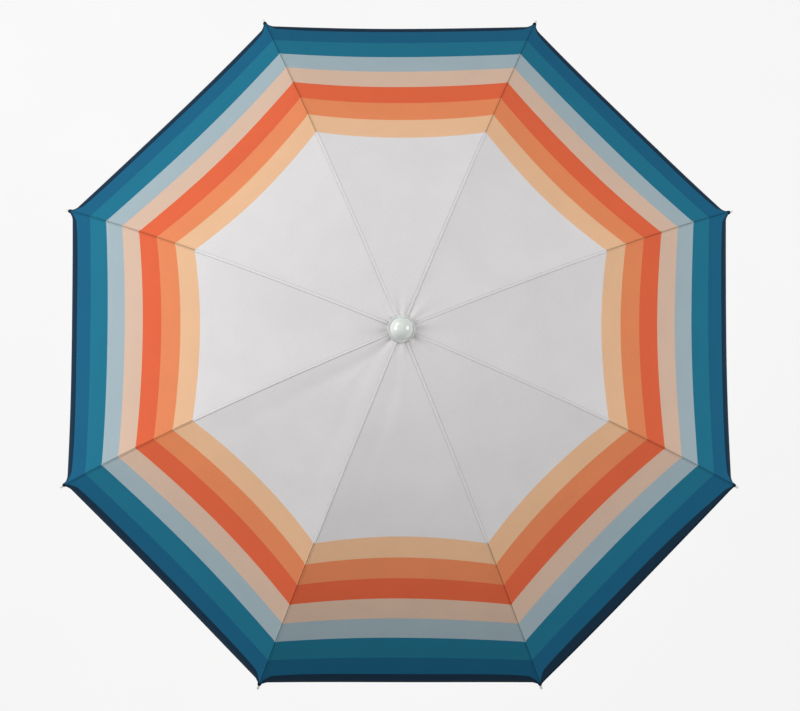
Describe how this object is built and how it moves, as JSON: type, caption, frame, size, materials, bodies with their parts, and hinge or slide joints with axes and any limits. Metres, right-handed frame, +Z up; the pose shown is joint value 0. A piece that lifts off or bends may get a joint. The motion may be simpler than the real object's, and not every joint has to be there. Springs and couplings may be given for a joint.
{
  "type": "beach umbrella",
  "caption": "Open beach umbrella: striped curved canopy on folding ribs and stretchers, sliding runner, tilt joint and two-part pole with a ground spike.",
  "frame": {"origin": "on the pole's axis at the sand line, where the ground pin leaves the sand", "axes": "+Z up along the pole, +X towards the middle of a canopy panel and the clamp knob, +Y so that the frame is right-handed"},
  "size_m": [1.5572, 1.5572, 2.2021],
  "materials": {
    "canopy_cloth": "woven polyester in concentric stripes",
    "rib_rod": "white powder coat",
    "tip_plastic": "moulded, ivory",
    "clip_metal": "zinc plated",
    "cap_plastic": "moulded, glossy",
    "hub_plastic": "moulded, satin",
    "pole_paint": "white powder coat",
    "catch_plastic": "moulded",
    "knob_plastic": "moulded, fine grain",
    "spike_plastic": "moulded, scuffed"
  },
  "bodies": {
    "lower_pole": {"lower_pole": "pole_paint", "ground_spike": "spike_plastic", "pole_collar": "hub_plastic"},
    "clamp_knob": {"clamp_knob": "knob_plastic"},
    "upper_pole": {"upper_pole": "pole_paint", "pole_foot": "hub_plastic", "tilt_lower_knuckle": "hub_plastic", "tilt_pin": "clip_metal"},
    "mast": {"mast_tube": "pole_paint", "tilt_upper_knuckle": "hub_plastic", "crown": "hub_plastic", "crown_wire": "clip_metal", "cap": "cap_plastic"},
    "tilt_button": {"tilt_button": "knob_plastic"},
    "runner": {"runner": "hub_plastic", "runner_wire": "clip_metal"},
    "runner_catch": {"runner_catch": "catch_plastic"},
    "rib_1": {"rib_1": "rib_rod", "rib_tip_1": "tip_plastic", "rib_clip_1": "clip_metal"},
    "stretcher_1": {"stretcher_1": "rib_rod"},
    "canopy_panel_1": {"canopy_panel_1": "canopy_cloth"},
    "rib_2": {"rib_2": "rib_rod", "rib_tip_2": "tip_plastic", "rib_clip_2": "clip_metal"},
    "stretcher_2": {"stretcher_2": "rib_rod"},
    "canopy_panel_2": {"canopy_panel_2": "canopy_cloth"},
    "rib_3": {"rib_3": "rib_rod", "rib_tip_3": "tip_plastic", "rib_clip_3": "clip_metal"},
    "stretcher_3": {"stretcher_3": "rib_rod"},
    "canopy_panel_3": {"canopy_panel_3": "canopy_cloth"},
    "rib_4": {"rib_4": "rib_rod", "rib_tip_4": "tip_plastic", "rib_clip_4": "clip_metal"},
    "stretcher_4": {"stretcher_4": "rib_rod"},
    "canopy_panel_4": {"canopy_panel_4": "canopy_cloth"},
    "rib_5": {"rib_5": "rib_rod", "rib_tip_5": "tip_plastic", "rib_clip_5": "clip_metal"},
    "stretcher_5": {"stretcher_5": "rib_rod"},
    "canopy_panel_5": {"canopy_panel_5": "canopy_cloth"},
    "rib_6": {"rib_6": "rib_rod", "rib_tip_6": "tip_plastic", "rib_clip_6": "clip_metal"},
    "stretcher_6": {"stretcher_6": "rib_rod"},
    "canopy_panel_6": {"canopy_panel_6": "canopy_cloth"},
    "rib_7": {"rib_7": "rib_rod", "rib_tip_7": "tip_plastic", "rib_clip_7": "clip_metal"},
    "stretcher_7": {"stretcher_7": "rib_rod"},
    "canopy_panel_7": {"canopy_panel_7": "canopy_cloth"},
    "rib_8": {"rib_8": "rib_rod", "rib_tip_8": "tip_plastic", "rib_clip_8": "clip_metal"},
    "stretcher_8": {"stretcher_8": "rib_rod"},
    "canopy_panel_8": {"canopy_panel_8": "canopy_cloth"}
  },
  "joints": [
    {"name": "height_slide", "type": "slide", "parent": "lower_pole", "child": "upper_pole", "axis": [0, 0, 1], "range_m": [-0.158, 0.15]},
    {"name": "clamp_turn", "type": "hinge", "parent": "lower_pole", "child": "clamp_knob", "pos_m": [0, 0, 0.64], "axis": [1, 0, 0], "range_deg": [-360, 0]},
    {"name": "canopy_tilt", "type": "hinge", "parent": "upper_pole", "child": "mast", "pos_m": [0, 0, 0.88], "axis": [-1, 0, 0], "range_deg": [0, 40]},
    {"name": "tilt_button_push", "type": "slide", "parent": "mast", "child": "tilt_button", "axis": [0, 1, 0], "range_m": [0, 0.003], "stiffness_N_per_m": 800},
    {"name": "canopy_fold", "type": "hinge", "parent": "mast", "child": "rib_1", "pos_m": [0.01718, 0.00712, 1.83], "axis": [-0.3827, 0.9239, 0], "range_deg": [0, 64]},
    {"name": "rib_2_fold", "type": "hinge", "parent": "mast", "child": "rib_2", "pos_m": [0.00712, 0.01718, 1.83], "axis": [-0.9239, 0.3827, 0], "range_deg": [0, 64]},
    {"name": "rib_3_fold", "type": "hinge", "parent": "mast", "child": "rib_3", "pos_m": [-0.00712, 0.01718, 1.83], "axis": [-0.9239, -0.3827, 0], "range_deg": [0, 64]},
    {"name": "rib_4_fold", "type": "hinge", "parent": "mast", "child": "rib_4", "pos_m": [-0.01718, 0.00712, 1.83], "axis": [-0.3827, -0.9239, 0], "range_deg": [0, 64]},
    {"name": "rib_5_fold", "type": "hinge", "parent": "mast", "child": "rib_5", "pos_m": [-0.01718, -0.00712, 1.83], "axis": [0.3827, -0.9239, 0], "range_deg": [0, 64]},
    {"name": "rib_6_fold", "type": "hinge", "parent": "mast", "child": "rib_6", "pos_m": [-0.00712, -0.01718, 1.83], "axis": [0.9239, -0.3827, 0], "range_deg": [0, 64]},
    {"name": "rib_7_fold", "type": "hinge", "parent": "mast", "child": "rib_7", "pos_m": [0.00712, -0.01718, 1.83], "axis": [0.9239, 0.3827, 0], "range_deg": [0, 64]},
    {"name": "rib_8_fold", "type": "hinge", "parent": "mast", "child": "rib_8", "pos_m": [0.01718, -0.00712, 1.83], "axis": [0.3827, 0.9239, 0], "range_deg": [0, 64]},
    {"name": "stretcher_1_turn", "type": "hinge", "parent": "rib_1", "child": "stretcher_1", "pos_m": [0.40234, 0.16665, 1.73441], "axis": [-0.3827, 0.9239, 0], "range_deg": [-128, 0]},
    {"name": "stretcher_2_turn", "type": "hinge", "parent": "rib_2", "child": "stretcher_2", "pos_m": [0.16665, 0.40234, 1.73441], "axis": [-0.9239, 0.3827, 0], "range_deg": [-128, 0]},
    {"name": "stretcher_3_turn", "type": "hinge", "parent": "rib_3", "child": "stretcher_3", "pos_m": [-0.16665, 0.40234, 1.73441], "axis": [-0.9239, -0.3827, 0], "range_deg": [-128, 0]},
    {"name": "stretcher_4_turn", "type": "hinge", "parent": "rib_4", "child": "stretcher_4", "pos_m": [-0.40234, 0.16665, 1.73441], "axis": [-0.3827, -0.9239, 0], "range_deg": [-128, 0]},
    {"name": "stretcher_5_turn", "type": "hinge", "parent": "rib_5", "child": "stretcher_5", "pos_m": [-0.40234, -0.16665, 1.73441], "axis": [0.3827, -0.9239, 0], "range_deg": [-128, 0]},
    {"name": "stretcher_6_turn", "type": "hinge", "parent": "rib_6", "child": "stretcher_6", "pos_m": [-0.16665, -0.40234, 1.73441], "axis": [0.9239, -0.3827, 0], "range_deg": [-128, 0]},
    {"name": "stretcher_7_turn", "type": "hinge", "parent": "rib_7", "child": "stretcher_7", "pos_m": [0.16665, -0.40234, 1.73441], "axis": [0.9239, 0.3827, 0], "range_deg": [-128, 0]},
    {"name": "stretcher_8_turn", "type": "hinge", "parent": "rib_8", "child": "stretcher_8", "pos_m": [0.40234, -0.16665, 1.73441], "axis": [0.3827, 0.9239, 0], "range_deg": [-128, 0]},
    {"name": "runner_turn", "type": "hinge", "parent": "stretcher_1", "child": "runner", "pos_m": [0.01718, 0.00712, 1.63883], "axis": [-0.3827, 0.9239, 0], "range_deg": [0, 64]},
    {"name": "catch_press", "type": "hinge", "parent": "runner", "child": "runner_catch", "pos_m": [0, -0.01945, 1.61183], "axis": [1, 0, 0], "range_deg": [0, 5], "stiffness_Nm_per_rad": 0.3},
    {"name": "panel_1_gather", "type": "hinge", "parent": "rib_1", "child": "canopy_panel_1", "pos_m": [0.01267, 0.01267, 1.82872], "axis": [-0.6124, -0.6124, -0.5], "range_deg": [0, 46.81], "deforming": ["canopy_panel_1"]},
    {"name": "panel_2_gather", "type": "hinge", "parent": "rib_2", "child": "canopy_panel_2", "pos_m": [0, 0.01792, 1.82872], "axis": [0, -0.866, -0.5], "range_deg": [0, 46.81], "deforming": ["canopy_panel_2"]},
    {"name": "panel_3_gather", "type": "hinge", "parent": "rib_3", "child": "canopy_panel_3", "pos_m": [-0.01267, 0.01267, 1.82872], "axis": [0.6124, -0.6124, -0.5], "range_deg": [0, 46.81], "deforming": ["canopy_panel_3"]},
    {"name": "panel_4_gather", "type": "hinge", "parent": "rib_4", "child": "canopy_panel_4", "pos_m": [-0.01792, 0, 1.82872], "axis": [0.866, 0, -0.5], "range_deg": [0, 46.81], "deforming": ["canopy_panel_4"]},
    {"name": "panel_5_gather", "type": "hinge", "parent": "rib_5", "child": "canopy_panel_5", "pos_m": [-0.01267, -0.01267, 1.82872], "axis": [0.6124, 0.6124, -0.5], "range_deg": [0, 46.81], "deforming": ["canopy_panel_5"]},
    {"name": "panel_6_gather", "type": "hinge", "parent": "rib_6", "child": "canopy_panel_6", "pos_m": [0, -0.01792, 1.82872], "axis": [0, 0.866, -0.5], "range_deg": [0, 46.81], "deforming": ["canopy_panel_6"]},
    {"name": "panel_7_gather", "type": "hinge", "parent": "rib_7", "child": "canopy_panel_7", "pos_m": [0.01267, -0.01267, 1.82872], "axis": [-0.6124, 0.6124, -0.5], "range_deg": [0, 46.81], "deforming": ["canopy_panel_7"]},
    {"name": "panel_8_gather", "type": "hinge", "parent": "rib_8", "child": "canopy_panel_8", "pos_m": [0.01792, 0, 1.82872], "axis": [-0.866, 0, -0.5], "range_deg": [0, 46.81], "deforming": ["canopy_panel_8"]}
  ],
  "couplings": [
    {"joint": "rib_2_fold", "follows": "canopy_fold", "ratio": 1},
    {"joint": "rib_3_fold", "follows": "canopy_fold", "ratio": 1},
    {"joint": "rib_4_fold", "follows": "canopy_fold", "ratio": 1},
    {"joint": "rib_5_fold", "follows": "canopy_fold", "ratio": 1},
    {"joint": "rib_6_fold", "follows": "canopy_fold", "ratio": 1},
    {"joint": "rib_7_fold", "follows": "canopy_fold", "ratio": 1},
    {"joint": "rib_8_fold", "follows": "canopy_fold", "ratio": 1},
    {"joint": "stretcher_1_turn", "follows": "canopy_fold", "ratio": -2},
    {"joint": "stretcher_2_turn", "follows": "canopy_fold", "ratio": -2},
    {"joint": "stretcher_3_turn", "follows": "canopy_fold", "ratio": -2},
    {"joint": "stretcher_4_turn", "follows": "canopy_fold", "ratio": -2},
    {"joint": "stretcher_5_turn", "follows": "canopy_fold", "ratio": -2},
    {"joint": "stretcher_6_turn", "follows": "canopy_fold", "ratio": -2},
    {"joint": "stretcher_7_turn", "follows": "canopy_fold", "ratio": -2},
    {"joint": "stretcher_8_turn", "follows": "canopy_fold", "ratio": -2},
    {"joint": "runner_turn", "follows": "canopy_fold", "ratio": 1},
    {"joint": "panel_1_gather", "follows": "canopy_fold", "ratio": 0.73127},
    {"joint": "panel_2_gather", "follows": "canopy_fold", "ratio": 0.73127},
    {"joint": "panel_3_gather", "follows": "canopy_fold", "ratio": 0.73127},
    {"joint": "panel_4_gather", "follows": "canopy_fold", "ratio": 0.73127},
    {"joint": "panel_5_gather", "follows": "canopy_fold", "ratio": 0.73127},
    {"joint": "panel_6_gather", "follows": "canopy_fold", "ratio": 0.73127},
    {"joint": "panel_7_gather", "follows": "canopy_fold", "ratio": 0.73127},
    {"joint": "panel_8_gather", "follows": "canopy_fold", "ratio": 0.73127}
  ]
}
